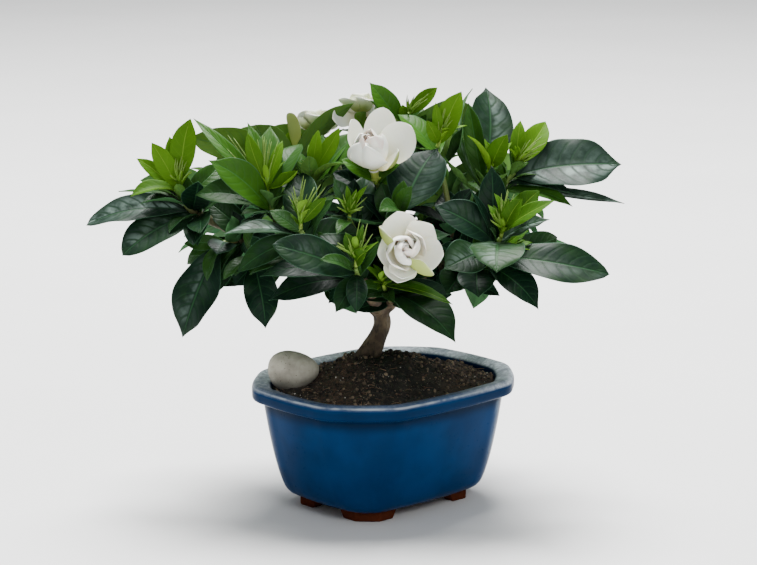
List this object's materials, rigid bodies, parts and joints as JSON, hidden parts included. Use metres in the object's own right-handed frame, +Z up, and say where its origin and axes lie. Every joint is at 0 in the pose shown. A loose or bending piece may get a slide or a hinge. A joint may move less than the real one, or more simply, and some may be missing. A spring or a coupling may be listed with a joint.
{
  "type": "potted gardenia",
  "caption": "Trained gardenia shrub with glossy leaves, young shoots and white double blooms, in a footed glazed pot with cut corners, with soil and a pebble.",
  "frame": {"origin": "under the middle of the whole plant and pot, on the plane that the feet stand on", "axes": "+X along the pot's long side, +Y along its short side, +Z up; the crown's trained front is seen from the pot's front left corner side, 43 degrees round from -Y towards -X"},
  "size_m": [0.4752, 0.4408, 0.4193],
  "materials": {
    "glaze": "deep blue gloss glaze, worn pale along the rim, over bare red-brown clay at the feet",
    "soil": null,
    "pebble": "beige-grey, smooth with small pits",
    "bark": "brown-grey bark with lengthwise ridges",
    "leaf": null,
    "young_leaf": "bright yellow-green, soft gloss",
    "petal": "white, soft and matt, cream to yellow-green at the backs"
  },
  "bodies": {
    "root": {"bloom_back_left": "petal", "bloom_back_top": "petal", "bloom_lower": "petal", "bloom_upper": "petal", "leafy_stem_back_bloom_left": "leaf", "leafy_stem_back_bloom_top": "leaf", "leafy_stem_back_centre": "leaf", "leafy_stem_back_left": "leaf", "leafy_stem_back_left_end": "leaf", "leafy_stem_back_left_top": "leaf", "leafy_stem_back_low": "leaf", "leafy_stem_back_right": "leaf", "leafy_stem_back_right_end": "leaf", "leafy_stem_back_right_low": "leaf", "leafy_stem_back_right_top": "leaf", "leafy_stem_beside_trunk": "leaf", "leafy_stem_centre": "leaf", "leafy_stem_centre_front": "leaf", "leafy_stem_centre_left": "leaf", "leafy_stem_centre_right": "leaf", "leafy_stem_left": "leaf", "leafy_stem_left_end": "leaf", "leafy_stem_left_hanging": "leaf", "leafy_stem_left_low": "leaf", "leafy_stem_lower_bloom": "leaf", "leafy_stem_right": "leaf", "leafy_stem_right_front": "leaf", "leafy_stem_right_low": "leaf", "leafy_stem_right_top": "leaf", "leafy_stem_top": "leaf", "leafy_stem_top_right": "leaf", "leafy_stem_upper_bloom": "leaf", "leafy_stem_upper_left": "leaf", "pebble": "pebble", "pot": "glaze", "soil": "soil", "trunk": "bark", "young_shoot_back_centre": "young_leaf", "young_shoot_back_left_top": "young_leaf", "young_shoot_back_right_end": "young_leaf", "young_shoot_back_right_top": "young_leaf", "young_shoot_beside_trunk": "young_leaf", "young_shoot_centre": "young_leaf", "young_shoot_centre_front": "young_leaf", "young_shoot_centre_left": "young_leaf", "young_shoot_left": "young_leaf", "young_shoot_left_end": "young_leaf", "young_shoot_right": "young_leaf", "young_shoot_right_front": "young_leaf", "young_shoot_right_low": "young_leaf", "young_shoot_right_top": "young_leaf", "young_shoot_top": "young_leaf", "young_shoot_top_right": "young_leaf", "young_shoot_upper_left": "young_leaf"}
  },
  "joints": []
}
